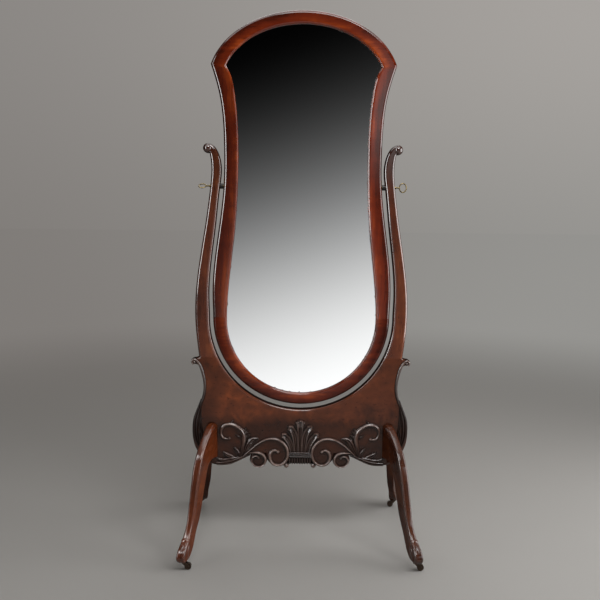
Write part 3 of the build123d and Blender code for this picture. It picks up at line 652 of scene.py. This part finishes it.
def silvering(name):
    """Silvered plate with a little foxing along its edge."""
    material, place, shader = start_material(name)
    edge = place.node("ShaderNodeAttribute", {"attribute_name": "relief"}, output="Fac")
    fox = place.noise(45, 6, 0.65, 0.6)
    spots = (fox + edge * 0.3).step(0.8, 0.88)
    colour = spots.mix(rgb((0.93, 0.94, 0.94)), rgb((0.42, 0.34, 0.27)))
    feed(shader, {"Base Color": colour, "Roughness": spots * 0.35 + 0.012, "Metallic": 1.0})
    return material


def length(name, description, default):
    return FloatProperty(name=name, description=description, default=default, unit="LENGTH")


def angle(name, description, default):
    return FloatProperty(name=name, description=description, default=radians(default), unit="ROTATION")


class ChevalFinish(bpy.types.PropertyGroup):
    """Sizes of edges and the depth of the carving."""

    frame_arris: length("Frame arris", "Rounding of the frame's front edges", 10.0 * MM)
    stand_arris: length("Stand arris", "Rounding of the uprights and the apron", 9.0 * MM)
    relief: length("Relief", "Height of the carving above the apron", GIVEN_RELIEF * MM)
    detail: IntProperty(name="Detail", description="Points along a frame member", default=90, min=20)


class ChevalStage(bpy.types.PropertyGroup):
    """Floor, light and camera."""

    floor_colour: FloatVectorProperty(
        name="Floor", description="Colour of the floor", default=(0.25, 0.243, 0.232), subtype="COLOR"
    )
    camera_place: FloatVectorProperty(
        name="Camera", description="Where the camera stands", default=(-0.037, -2.674, 1.165), unit="LENGTH"
    )
    camera_pitch: angle("Pitch", "How far the camera looks down", 6.63)
    camera_yaw: angle("Yaw", "How far the camera looks to the right", 0.68)
    camera_roll: angle("Roll", "How far the camera leans", -0.62)
    lens: FloatProperty(name="Lens", description="Focal length in millimetres", default=46.27)


def frame_side_x(height, points, lean):
    """Half width of the frame or glass edge at some heights."""
    curve = smooth_curve(points, 600, (0, 1), lean)
    return np.interp(height, curve[:, 1], curve[:, 0])


def ellipse_arch(arch, shoulder_x, count):
    """Points of an arch from the right shoulder over the top to the left one."""
    centre_z, across, up = arch
    start = degrees(np.arccos(shoulder_x / across))
    return arc((0, centre_z), (across, up), start, 180 - start, count)


def sight_outline():
    """Outline of the glass that shows."""
    bowl_z, radius = SIGHT_BOWL
    shoulder_x, shoulder_z = SIGHT_SIDE[-1]
    side_z = np.linspace(bowl_z, shoulder_z, 120)
    side = np.stack([frame_side_x(side_z, SIGHT_SIDE, SIGHT_LEAN), side_z], axis=1)
    bowl = arc((0, bowl_z), radius, -90, 0, 60)
    crown = ellipse_arch(SIGHT_ARCH, shoulder_x, 160)
    half = np.concatenate([bowl[:-1], side[:-1], crown[: len(crown) // 2]])
    return np.concatenate([half, sided(half, -1)[::-1][:-1]])


def frame_member(outer, inner, arris):
    """Frame member between two edge lines: rounded front, rebate behind."""
    rows = []
    shares = []
    for start, end in zip(outer, inner):
        width = np.linalg.norm(end - start)
        lip = width - REBATE_WIDTH
        flat = [(0, FRAME_HALF)]
        flat += [(reach, drop - FRAME_HALF) for reach, drop in arris_profile(arris)]
        flat += [(width * share, -FRAME_HALF) for share in FRAME_SHARES]
        within = arris_profile(arris * INNER_ARRIS)[::-1]
        flat += [(width - reach, drop - FRAME_HALF) for reach, drop in within]
        flat += [(width, REBATE_Y), (lip, REBATE_Y), (lip, FRAME_HALF)]
        reach, depth = np.array(flat).T
        rows.append(at_depth(start + np.outer(reach / width, end - start), depth))
        shares.extend(reach / width)
    member = Solid()
    member.loops(rows, shares)
    return member


class CHEVAL_OT_frame(bpy.types.Operator):
    """Four members of the mirror frame, with rounded front edges and a rebate for the glass"""

    bl_idname = "cheval.frame"
    bl_label = "Mirror frame"

    def execute(self, context):
        arris = context.scene.cheval_finish.frame_arris / MM
        count = context.scene.cheval_finish.detail
        red = ((0.026, 0.0030, 0.0007), (0.072, 0.0082, 0.0017), (0.190, 0.0310, 0.0050))
        # edge is where the painted dark edge along the arris, painted shade, clears. The right stile's
        # lighter tint and the left's darker one are partly painted light from the right, beside the wood's
        # own tone; the top rail's figure is turned so that its lighter side lies to the right, where the
        # light falls
        edge = (0.01, 0.07)
        woods = {}
        for name, grain, tint, coat, more in (
            ("left stile", (1, 1, 0.09), 0.9, 0.8, {"rim": edge, "inner": 0.25}),
            ("right stile", (1, 1, 0.09), 1.6, 0.65, {"rim": edge}),
            ("top rail", (0.12, 1, 1), 1.25, 0.5, {"turn": (0, 0, pi)}),
            ("bottom rail", (0.12, 1, 1), 1.1, 0.3, {"rim": edge}),
        ):
            tones = tinted(red, tint)
            woods[name] = wood(f"{name} mahogany", grain, tones, figure=0.25, coat=coat, painted_inner_light=True, **more)
        bowl_z, bowl_radius = FRAME_BOWL
        sight_z, sight_radius = SIGHT_BOWL
        cut_x, cut_z, slope = SHOULDER_CUT
        edges = []
        for side, lean, end_x in zip((FRAME_SIDE, SIGHT_SIDE), (FRAME_LEAN, SIGHT_LEAN), SHOULDER_ENDS):
            top_z = cut_z + slope * (end_x - cut_x)
            height = bowl_z + np.linspace(0, 1, count) * (top_z - bowl_z)
            edges.append(np.stack([frame_side_x(height, side, lean), height], axis=1))
        outer, inner = edges
        for side_name, side in SIDES.items():
            stile = frame_member(sided(outer, side), sided(inner, side), arris)
            finish = woods[f"{side_name} stile"]
            stile.make(f"stile_{side_name}", "mirror", f"frame_{side_name}_stile", "frame_wood", finish)
        over = []
        for line, arch, side in ((outer, FRAME_ARCH, FRAME_SIDE), (inner, SIGHT_ARCH, SIGHT_SIDE)):
            crown = ellipse_arch(arch, side[-1][0], 2 * count)
            step = np.linspace(line[-1], crown[0], 4)[:-1]
            over.append(np.concatenate([step, crown, sided(step, -1)[::-1]]))
        top = frame_member(*over, arris)
        top.make("rail_top", "mirror", "frame_top_rail", "frame_wood", woods["top rail"], angle=28)
        way = arc((0, 0), 1, 180, 360, 2 * count)
        offset = sight_z - bowl_z
        reach = offset * way[:, 1] + np.sqrt(sight_radius**2 - (offset * way[:, 0]) ** 2)
        middle = np.array([0, bowl_z])
        bottom = frame_member(middle + bowl_radius * way, middle + reach[:, None] * way, arris)
        bottom.make("rail_bottom", "mirror", "frame_bottom_rail", "frame_wood", woods["bottom rail"])
        return {"FINISHED"}


def upright_outline(count):
    """Outline of the right upright, from the inner corner of its foot round to the outer one."""
    rim = arc((0, RIM_CENTRE_Z), RIM_RADIUS, JOINT_ANGLE, 0, 24)
    inner = smooth_curve(UPRIGHT_INNER, count, (0, 1), (1, 0))
    knob = arc(KNOB[:2], KNOB[2], 90, -110, 22)
    outer = smooth_curve([tuple(knob[-1])] + UPRIGHT_OUTER, count)
    return np.concatenate([rim[:-1], inner, knob[1:], outer[1:]])


class CHEVAL_OT_uprights(bpy.types.Operator):
    """Two shaped uprights, each with an outward scroll that ends in a ball"""

    bl_idname = "cheval.uprights"
    bl_label = "Uprights"

    def execute(self, context):
        arris = context.scene.cheval_finish.stand_arris / MM
        brown = ((0.034, 0.0092, 0.0047), (0.092, 0.0230, 0.0096), (0.205, 0.0570, 0.0190))
        # rim gives a painted dark edge along the arris, painted shade; ground makes the colour darker towards
        # the top
        post = wood(
            "upright mahogany", (1, 1, 0.1), brown, figure=0.4, coat=0.85,
            rim=(0.05, 0.36), ground=(1.42, 1.08),
        )
        for side_name, side in SIDES.items():
            outline = sided(upright_outline(110), side)
            upright = Solid()
            ends = {0: (side, 0), len(outline) - 1: (-side, 0)}
            upright.plate(outline, STAND_HALF, arris, ends)
            upright.ball((side * KNOB[0], 0, KNOB[1]), KNOB_BALL)
            upright.make(f"upright_{side_name}", "stand", f"{side_name}_upright", "stand_wood", post)
        return {"FINISHED"}


def apron_half():
    """Right half of the apron's outline, from the middle of its rim to the middle of its foot."""
    rim = arc((0, RIM_CENTRE_Z), RIM_RADIUS, -90, JOINT_ANGLE, 60)
    joint = np.array([[JOINT_OUTER_X, JOINT_Z]])
    over = smooth_curve([(JOINT_OUTER_X, JOINT_Z), (EAR[0], EAR[1] + EAR[2])], 8, (1, -0.4), (1, 0))
    ear = arc(EAR[:2], EAR[2], 90, -110, 16)
    skirt = smooth_curve([tuple(ear[-1])] + SKIRT, 90, (-1, -0.2), (-1, 0))
    hem = smooth_curve(HEM, 24, (-1, 0), (-1, 0.35))
    return np.concatenate([rim, joint, over[1:], ear[1:], skirt[1:], hem[1:], HEM_FOOT]), len(rim)


class CHEVAL_OT_apron(bpy.types.Operator):
    """Apron under the mirror: figured panel with ears and lobes"""

    bl_idname = "cheval.apron"
    bl_label = "Apron"

    def execute(self, context):
        arris = context.scene.cheval_finish.stand_arris / MM
        brown = ((0.024, 0.0088, 0.0052), (0.084, 0.0225, 0.0094), (0.195, 0.0480, 0.0150))
        # Painted shade: a dark edge along the arris, shade out of corners over a wider reach, and the lower
        # apron and its flanks darkened round the carving
        figured = wood(
            "apron mahogany", (0.3, 1, 0.55), brown, figure=0.9, polish=0.24, coat=0.36,
            rim=(0.05, 0.36), corner_shade_reach=0.03, ground=(0.40, 0.46),
        )
        half, corner = apron_half()
        outline = np.concatenate([half, sided(half, -1)[::-1][1:-1]])
        last = len(outline)
        normals = {corner - 1: (1, 0), corner: (-1, 0), last - corner + 1: (-1, 0), last - corner: (1, 0)}
        apron = Solid()
        apron.plate(outline, STAND_HALF, arris, normals)
        for side in SIDES.values():
            for centre, radius in LOBES:
                lobe = circle((side * centre[0], centre[1]), radius, 48)
                apron.plate(lobe, LOBE_HALF, LOBE_ARRIS)
        apron.make("apron_panel", "stand", "apron", "stand_wood", figured)
        return {"FINISHED"}


class CHEVAL_OT_carving(bpy.types.Operator):
    """Palmette, scrolls and leaves on the apron's front, flanks and ears"""

    bl_idname = "cheval.carving"
    bl_label = "Carving"

    def execute(self, context):
        lift = context.scene.cheval_finish.relief / MM / GIVEN_RELIEF
        grey = ((0.020, 0.0082, 0.0056), (0.052, 0.0220, 0.0150), (0.150, 0.0880, 0.0660))
        # relief gives painted shade in the carving's low parts and lightens its crests as rubbed wear with a
        # painted highlight
        carved = wood(
            "carved mahogany", (0.6, 1, 0.6), grey, figure=0.8, polish=0.22, coat=1.0, gloss=0.32, relief=True
        )
        for side_name, side in SIDES.items():
            work = Solid()
            self.scrolls(work, lift)
            work.points = [(side * x, y, z) for x, y, z in work.points]
            node = f"{side_name}_scroll_carving"
            work.make(f"scrolls_{side_name}", "stand", node, "carved_wood", carved, angle=60)
        palmette = Solid()
        self.palmette(palmette, lift)
        palmette.make("palmette", "stand", "palmette_carving", "carved_wood", carved, angle=60)
        return {"FINISHED"}

    def scrolls(self, work, lift):
        """Bands that end in curls, leaves beside them, the leaf on the flank, and the curl on the ear."""
        bands = [(SCROLL, 170, "bead", 10), (RING, 120, "bead", 10), (CURL, 120, "reeded", 18)]
        bands += [(leaf, 40, "frond", 10) for leaf in LEAVES]
        for (points, width, height), count, section, steps in bands:
            lifted = [rise * lift for rise in height]
            work.ridge(smooth_curve(points, count), width, lifted, section, steps)
        for centre, radius, height in EYES:
            work.dome(centre, radius, height)
        # A low tone makes the flank leaves dark: painted shade
        for points, width, height in FLANK:
            work.ridge(smooth_curve(points, 50), width, height, "frond", sink=3.0, tone=[0.3])
        curl = arc(EAR_EYE, 8.5, -70, 165, 20)
        work.ridge(
            smooth_curve(np.concatenate([curl[::4], RIB]), 110),
            [3.5, 4.5, 5.6, 6, 5.8, 5.6, 5.5, 5.5, 5.5, 5.2, 4],
            [5, 7, 7, 6.5, 6, 5.5, 5, 5, 4.5, 4, 2],
            sink=4.0,
            tone=[1.0, 1.0, 0.9, 0.7, 0.5, 0.4, 0.35, 0.3, 0.3],
        )

    def palmette(self, work, lift):
        """Five fluted petals with drops at their tips, on a collar and a row of reeds."""
        for points, width, height, drop_reach in PETALS:
            lifted = [rise * lift for rise in height]
            vein = [rise * 0.85 for rise in lifted[:-1]]
            for side in SIDES.values() if points[0][0] else (1,):
                path = sided(smooth_curve(points, 44), side)
                work.ridge(path, width, lifted, "flute", 16)
                work.ridge(path[3:-8], [1.6, 2, 2.6, 2], vein)
                ahead = unit(path[-1] - path[-4])
                across = quarter(ahead) * drop_reach
                for reach, forward, rise in DROPS:
                    spot = path[-1] + across * reach + ahead * forward
                    work.dome(spot, 4.8, rise * lift)
        for rise in COLLAR_RISES:
            band = [(-COLLAR_HALF, rise), (0, rise), (COLLAR_HALF, rise)]
            work.ridge(band, [3.4], [9.2 * lift], tone=[0.45])
        for reach in REEDS:
            reed = [(reach, rise) for rise in REED_RISES]
            work.ridge(reed, [4.4, 4.4, 3.6], [9, 9.5, 5], tone=[0.45])
        (x, y, z), radii = SIDE_BALL
        for side in SIDES.values():
            work.ball((side * x, y, z), radii)


class CHEVAL_OT_legs(bpy.types.Operator):
    """Four splayed legs with a domed knee, a rounded front and a carved foot"""

    bl_idname = "cheval.legs"
    bl_label = "Legs"

    def execute(self, context):
        # The left legs' lighter, warmer tones are painted light from the right; the right legs are a darker
        # board with painted shade; the back legs are darker again, which is painted shade
        lit_leg_tones = ((0.034, 0.0074, 0.0026), (0.092, 0.0210, 0.0066), (0.215, 0.0590, 0.0175))
        shaded_leg_tones = ((0.018, 0.0050, 0.0024), (0.050, 0.0135, 0.0054), (0.125, 0.0370, 0.0130))
        woods = {}
        for name, tones in (("left", lit_leg_tones), ("right", shaded_leg_tones), ("back", tinted(shaded_leg_tones, 0.8))):
            woods[name] = wood(
                f"{name} leg mahogany", (0.1, 1, 1), tones, coat=0.55, gloss=0.13,
                turn=(0, radians(-52), 0), sheen=(0.8, 1.0),
            )
        rows, shares = self.sections()
        splay = radians(LEG_SPLAY)
        up = Vector((0, 0, 1))
        for corner, (side, end) in CORNERS.items():
            run = Vector((side * sin(splay), end * cos(splay), 0))
            place = Matrix((run, up.cross(run), up)).transposed().to_4x4()
            place.translation = Vector((side * LEG_X, end * STAND_HALF, 0)) * MM
            leg = Solid()
            leg.loops(rows, shares)
            for centre, radii, tilt in TOES:
                leg.ball(centre, radii, tilt)
            plank = woods["back" if end > 0 else "left" if side < 0 else "right"]
            leg.make(f"leg_{corner}", "stand", f"{corner}_leg", "leg_wood", plank, place)
        return {"FINISHED"}

    def sections(self):
        """Sections of a leg from knee to sole in its own plane, and which points are on its front."""
        count = 96
        front = smooth_curve(LEG_FRONT, count)
        back = smooth_curve(LEG_BACK, count)
        share = np.linspace(0, 1, count)
        half = np.full(count, float(LEG_HALF))
        for size, middle, reach in LEG_SWELLS:
            half += size * np.exp(-(((share - middle) / reach) ** 2))
        round_front = np.interp(share, ROUND_SHARES, ROUND_FRONT)
        rows = []
        shares = []
        for i in range(count):
            chord = front[i] - back[i]
            length = np.linalg.norm(chord)
            round_here = min(round_front[i], half[i] - 0.4, length / 2)
            row = []
            for along, across, front_share in leg_section(length, half[i], round_here, ROUND_BACK):
                point = back[i] + chord / length * along
                row.append((point[0], across, max(point[1], SOLE_Z)))
                shares.append(front_share)
            rows.append(row)
        return rows, shares


def leg_section(length, half, front, back):
    """Rounded section of a leg: distance from its back edge, place across it, and 1 on its front."""
    places = []
    for first, side, radius in ((-90, -1, front), (0, 1, front), (90, 1, back), (180, -1, back)):
        on_front = first < 90
        for turn in np.radians(np.linspace(first, first + 90, 9)):
            across = side * (half - radius) + radius * sin(turn)
            along = (length - radius if on_front else radius) + radius * cos(turn)
            if on_front:
                along += LEG_CROWN * (1 - (across / half) ** 2) * max(cos(turn), 0)
            places.append((along, across, float(on_front)))
    return places


class CHEVAL_OT_glass(bpy.types.Operator):
    """Silvered plate behind the frame's lip, with its worn edge"""

    bl_idname = "cheval.glass"
    bl_label = "Glass"

    def execute(self, context):
        outline = sight_outline()
        outward = unit(outline - np.array(GLASS_MIDDLE))
        plate = Solid()
        rows = [at_depth(outline + outward * grow, depth) for grow, depth, worn in GLASS_RINGS]
        plate.loops(rows, [worn for grow, depth, worn in GLASS_RINGS for point in outline])
        silver = silvering("silvered glass")
        plate.make("silvered_plate", "mirror", "mirror_glass", "mirror", silver, angle=30)
        return {"FINISHED"}


class CHEVAL_OT_fittings(bpy.types.Operator):
    """Finishes of the brass, the casters, the screws and the plain back"""

    bl_idname = "cheval.fittings"
    bl_label = "Fittings"

    def execute(self, context):
        brass = metal("aged brass", ((0.27, 0.205, 0.095), (0.075, 0.058, 0.030)), 1.0, 0.28)
        iron = metal("dark iron", ((0.085, 0.058, 0.042), (0.030, 0.020, 0.015)), 0.85, 0.34, bump=0.3)
        collar = metal("blackened collar", ((0.030, 0.026, 0.024), (0.010, 0.009, 0.009)), 0.6, 0.3)
        steel = metal("screw steel", ((0.42, 0.41, 0.39), (0.16, 0.14, 0.12)), 1.0, 0.3)
        plain = ((0.085, 0.045, 0.022), (0.16, 0.09, 0.045), (0.24, 0.145, 0.08))
        board = wood("back board", (1, 1, 0.08), plain, figure=0.3, polish=0.5, coat=0.0, bump=0.3)
        pale = ((0.25, 0.15, 0.07), (0.4, 0.26, 0.13), (0.5, 0.35, 0.2))
        peg = wood("dowel wood", (1, 1, 0.1), pale, coat=0.0)
        finishes = (
            (("dowel",), peg),
            (("_screws",), steel),
            (("backboard", "retainer"), board),
            (("spacer",), collar),
            (("caster",), iron),
            (("thumbscrew", "washer", "bush", "nut_plate"), brass),
        )
        for name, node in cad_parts.items():
            for words, finish in finishes:
                if any(word in name for word in words):
                    node.data.materials.clear()
                    node.data.materials.append(finish)
                    break
        return {"FINISHED"}


class CHEVAL_OT_stage(bpy.types.Operator):
    """Floor, lamps, camera, and a card and a dim wall for the glass and the polish to reflect"""

    bl_idname = "cheval.stage"
    bl_label = "Stage"

    def execute(self, context):
        stage = context.scene.cheval_stage
        self.floor(tuple(stage.floor_colour))
        self.card()
        self.surround()
        self.lamps(context)
        self.camera(context, stage)
        context.scene.view_settings.view_transform = "Standard"
        return {"FINISHED"}

    def floor(self, colour):
        """Pale floor that fades into the backdrop far from the object."""
        material, place, shader = start_material("floor")
        mottled = (place.noise(3, 3) * 0.3).mix(rgb(colour), rgb([part * 0.95 for part in colour]))
        feed(shader, {"Base Color": mottled, "Roughness": 0.9, "Specular IOR Level": 0.1})
        distance = place.node("ShaderNodeVectorMath", {"operation": "LENGTH"}, {0: place}, output="Value")
        across = (place.part("X") / distance).step(-0.5, 0.5)
        far = place.node("ShaderNodeEmission", (), {"Color": across.mix(*map(rgb, HORIZON))})
        near = Value(place.tree, shader.outputs[0])
        fade = place.node("ShaderNodeMixShader", (), {0: distance.step(1.2, 5.5), 1: near, 2: far})
        feed(place.tree.nodes["Material Output"], {"Surface": fade})
        ends = (-FLOOR_REACH, FLOOR_REACH)
        corners = [(x, y, FLOOR_Z) for x in ends for y in ends]
        add_piece("floor", corners, [(0, 2, 3, 1)], material)

    def glowing(self, name, points, faces, level):
        """Adds a surface that only polish and glass see; level turns a place on it into light."""
        material, place, shader = start_material(name)
        place.tree.nodes.remove(shader)
        light = place.node("ShaderNodeEmission", (), {"Color": level(place)})
        feed(place.tree.nodes["Material Output"], {"Surface": light})
        piece = add_piece(name, points, faces, material)
        for ray in ("camera", "diffuse", "transmission", "volume_scatter", "shadow"):
            setattr(piece, f"visible_{ray}", False)

    def card(self):
        """Card that the glass reflects, from black to white."""
        outline = sight_outline()
        outline = outline + CARD_SPREAD * (outline - np.array(EYE))
        points = [(MM * x, CARD_Y, MM * z) for x, z in outline]
        eye_x, eye_z = (CARD_SPREAD * MM * part for part in EYE)

        def level(place):
            across = (place.part("X") + eye_x) / (1 + CARD_SPREAD)
            height = (place.part("Z") + eye_z) / (1 + CARD_SPREAD)
            share = ((BLACK_Z - height + across * LEVEL_LEAN) / WHITE_DROP).clamp()
            shown = share * 0.45 + share.step(0.0, 1.0) * 0.55
            return ((shown + 0.055) / 1.055) ** 2.4 * 1.072

        self.glowing("card", points, [tuple(range(len(points)))], level)

    def surround(self):
        """Dim wall with one bright patch, which the polish reflects."""
        count = 64
        ring = circle((0, 0), WALL_RADIUS, count)
        points = [(x, y, z) for z in (0.0, WALL_HEIGHT) for x, y in ring]
        walls = [(k, (k + 1) % count, count + (k + 1) % count, count + k) for k in range(count)]

        def level(place):
            measure = {"operation": "DISTANCE"}
            away = place.node("ShaderNodeVectorMath", measure, {0: place, 1: PATCH}, "Value")
            low = 1 - place.part("Z").step(0.0, 1.9)
            return low * 0.06 + 0.02 + (1 - away.step(0.05, 0.75)) * 0.8

        self.glowing("surround", points, walls, level)

    def lamps(self, context):
        """Soft lamps, and a world that goes on from the floor's far edge."""
        for name, place, aim, size, power, seen in LAMPS:
            lamp = bpy.data.lights.new(name, "AREA")
            lamp.shape = "RECTANGLE"
            lamp.size, lamp.size_y = size
            lamp.energy = power
            holder = bpy.data.objects.new(name, lamp)
            holder.location = place
            holder.rotation_euler = (Vector(aim) - Vector(place)).to_track_quat("-Z", "Y").to_euler()
            holder.visible_diffuse = seen != "gloss"
            holder.visible_glossy = seen != "colour"
            context.scene.collection.objects.link(holder)
        world = bpy.data.worlds.new("studio")
        world.use_nodes = True
        tree = world.node_tree
        way = Value(tree, None).node("ShaderNodeTexCoord", output="Generated")
        low, high = (way.part("X").step(-0.5, 0.5).mix(*map(rgb, pair)) for pair in (HORIZON, SKY))
        colour = way.part("Z").step(-0.1, 0.25).mix(low, high)
        feed(tree.nodes["Background"], {"Color": colour})
        context.scene.world = world

    def camera(self, context, stage):
        camera = bpy.data.cameras.new("camera")
        camera.lens = stage.lens
        camera.sensor_width = 36
        camera.clip_end = 200
        turn = Matrix.Translation(stage.camera_place)
        turns = ((-stage.camera_yaw, "Z"), (pi / 2 - stage.camera_pitch, "X"), (-stage.camera_roll, "Z"))
        for angle, axis in turns:
            turn = turn @ Matrix.Rotation(angle, 4, axis)
        holder = bpy.data.objects.new("camera", camera)
        holder.matrix_world = turn
        context.scene.collection.objects.link(holder)
        context.scene.camera = holder


class CHEVAL_PT_panel(bpy.types.Panel):
    """Settings and steps of the cheval mirror"""

    bl_idname = "CHEVAL_PT_panel"
    bl_label = "Cheval mirror"
    bl_space_type = "VIEW_3D"
    bl_region_type = "UI"
    bl_category = "Cheval"

    def draw(self, context):
        for group in (context.scene.cheval_finish, context.scene.cheval_stage):
            box = self.layout.box()
            for name in group.__annotations__:
                box.prop(group, name)
        for step in STEPS:
            self.layout.operator(step.bl_idname)


STEPS = (
    CHEVAL_OT_frame,
    CHEVAL_OT_uprights,
    CHEVAL_OT_apron,
    CHEVAL_OT_carving,
    CHEVAL_OT_legs,
    CHEVAL_OT_glass,
    CHEVAL_OT_fittings,
    CHEVAL_OT_stage,
)
CLASSES = (ChevalFinish, ChevalStage, *STEPS, CHEVAL_PT_panel)


def register():
    for kind in CLASSES:
        bpy.utils.register_class(kind)
    bpy.types.Scene.cheval_finish = PointerProperty(type=ChevalFinish)
    bpy.types.Scene.cheval_stage = PointerProperty(type=ChevalStage)


def unregister():
    del bpy.types.Scene.cheval_finish
    del bpy.types.Scene.cheval_stage
    for kind in reversed(CLASSES):
        bpy.utils.unregister_class(kind)


def main():
    """Builds every piece in order."""
    register()
    for step in STEPS:
        getattr(bpy.ops.cheval, step.bl_idname.split(".")[1])()


if __name__ == "__main__":
    main()
